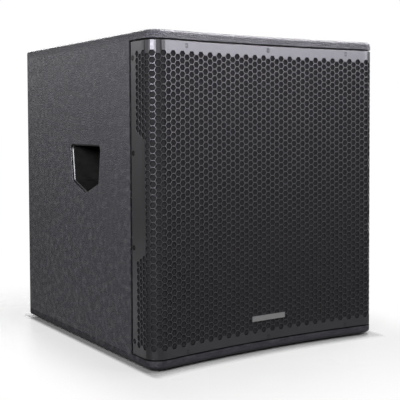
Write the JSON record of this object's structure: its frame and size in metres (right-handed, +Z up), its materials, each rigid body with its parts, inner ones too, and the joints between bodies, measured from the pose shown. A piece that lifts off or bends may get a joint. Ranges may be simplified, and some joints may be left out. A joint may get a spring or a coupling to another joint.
{
  "type": "subwoofer cabinet",
  "caption": "Upright black plywood subwoofer box with a concave wraparound hexagon-perforated grille, recessed side handles, rear amplifier panel and a pole socket on top.",
  "frame": {"origin": "on the floor under the middle of the cabinet's box", "axes": "+Z up, -Y out of the grille, +X to the right seen from the front"},
  "size_m": [0.53, 0.56, 0.6],
  "materials": {
    "cabinet_paint": "plywood under coarse black textured paint",
    "inner_paint": "flat black paint",
    "bare_plywood": "bare birch plywood",
    "damping_felt": "grey needle felt",
    "grille_steel": "black powder coat on perforated steel",
    "acoustic_foam": "open-cell black foam",
    "black_screws": "black oxide",
    "zinc_hardware": "zinc plated",
    "badge_metal": "satin, blank",
    "cast_basket": "cast, painted dark grey",
    "motor_steel": "black zinc",
    "magnet_ferrite": "ground ferrite",
    "paper_cone": "coated paper pulp",
    "coil_former": "wound former",
    "treated_cloth": "treated cloth",
    "gasket_foam": "closed-cell gasket",
    "terminal_plastic": "moulded nylon",
    "lead_red": "PVC insulation",
    "lead_black": "PVC insulation",
    "handle_plastic": "moulded ABS",
    "pole_socket_metal": "black anodised",
    "foot_rubber": "moulded rubber",
    "amp_plate_paint": "fine black powder coat",
    "amp_cover_steel": "galvanised sheet",
    "heat_sink_aluminium": "black anodised",
    "circuit_board": "glass epoxy board with components",
    "transformer_wrap": "polyester tape over copper",
    "socket_body": "glass-filled nylon",
    "latch_metal": "nickel plated",
    "rocker_plastic": "moulded",
    "knob_plastic": "soft-touch",
    "button_plastic": "moulded",
    "light_lens": "diffused lens"
  },
  "bodies": {
    "cabinet": {"top_panel": "cabinet_paint", "bottom_panel": "cabinet_paint", "side_panel_right": "cabinet_paint", "side_panel_left": "cabinet_paint", "back_panel": "cabinet_paint", "baffle": "inner_paint", "port_shelf": "bare_plywood", "port_divider": "bare_plywood", "window_brace": "bare_plywood", "side_linings": "damping_felt", "grille": "grille_steel", "grille_foam": "acoustic_foam", "grille_rail_lower": "inner_paint", "grille_rail_upper": "inner_paint", "grille_screws": "black_screws", "badge": "badge_metal", "woofer_basket": "cast_basket", "woofer_top_plate": "motor_steel", "woofer_magnet": "magnet_ferrite", "woofer_pole_piece": "motor_steel", "woofer_surround": "treated_cloth", "woofer_spider": "treated_cloth", "woofer_gasket": "gasket_foam", "woofer_terminals": "terminal_plastic", "woofer_bolts": "black_screws", "woofer_tee_nuts": "zinc_hardware", "woofer_lead_red": "lead_red", "woofer_lead_black": "lead_black", "lead_clips": "terminal_plastic", "handle_cup_right": "handle_plastic", "handle_cup_left": "handle_plastic", "handle_screws": "zinc_hardware", "pole_socket": "pole_socket_metal", "pole_socket_screws": "black_screws", "feet": "foot_rubber", "foot_screws": "zinc_hardware", "amp_plate": "amp_plate_paint", "amp_screws": "black_screws", "amp_cover": "amp_cover_steel", "heat_sink": "heat_sink_aluminium", "amp_board": "circuit_board", "supply_transformer": "transformer_wrap", "input_sleeves": "socket_body", "input_inserts": "socket_body", "output_sockets": "socket_body", "mains_inlet": "socket_body", "power_switch_frame": "socket_body", "potentiometers": "latch_metal", "status_lights": "light_lens"},
    "woofer_moving_parts": {"woofer_cone": "paper_cone", "woofer_dust_cap": "paper_cone", "woofer_voice_coil": "coil_former"},
    "level_knob": {"level_knob": "knob_plastic"},
    "crossover_knob": {"crossover_knob": "knob_plastic"},
    "phase_button": {"phase_button": "button_plastic"},
    "ground_lift_button": {"ground_lift_button": "button_plastic"},
    "power_rocker": {"power_rocker": "rocker_plastic"},
    "fuse_drawer": {"fuse_drawer": "socket_body"},
    "input_latch_1": {"input_latch_1": "latch_metal"},
    "input_latch_2": {"input_latch_2": "latch_metal"}
  },
  "joints": [
    {"name": "cone_travel", "type": "slide", "parent": "cabinet", "child": "woofer_moving_parts", "axis": [0, -1, 0], "range_m": [-0.01, 0.01], "stiffness_N_per_m": 7000, "deforming": ["woofer_surround", "woofer_spider"]},
    {"name": "level_turn", "type": "hinge", "parent": "cabinet", "child": "level_knob", "pos_m": [-0.125, 0.263, 0.47], "axis": [0, 1, 0], "range_deg": [-150, 150]},
    {"name": "crossover_turn", "type": "hinge", "parent": "cabinet", "child": "crossover_knob", "pos_m": [-0.075, 0.263, 0.47], "axis": [0, 1, 0], "range_deg": [-150, 150]},
    {"name": "phase_press", "type": "slide", "parent": "cabinet", "child": "phase_button", "axis": [0, -1, 0], "range_m": [0, 0.003], "stiffness_N_per_m": 300},
    {"name": "ground_lift_press", "type": "slide", "parent": "cabinet", "child": "ground_lift_button", "axis": [0, -1, 0], "range_m": [0, 0.003], "stiffness_N_per_m": 300},
    {"name": "rocker_tilt", "type": "hinge", "parent": "cabinet", "child": "power_rocker", "pos_m": [-0.062, 0.261, 0.29], "axis": [1, 0, 0], "range_deg": [0, 16]},
    {"name": "fuse_pull", "type": "slide", "parent": "cabinet", "child": "fuse_drawer", "axis": [0, 1, 0], "range_m": [0, 0.014]},
    {"name": "latch_press_1", "type": "slide", "parent": "cabinet", "child": "input_latch_1", "axis": [0, -1, 0], "range_m": [0, 0.002], "stiffness_N_per_m": 400},
    {"name": "latch_press_2", "type": "slide", "parent": "cabinet", "child": "input_latch_2", "axis": [0, -1, 0], "range_m": [0, 0.002], "stiffness_N_per_m": 400}
  ]
}
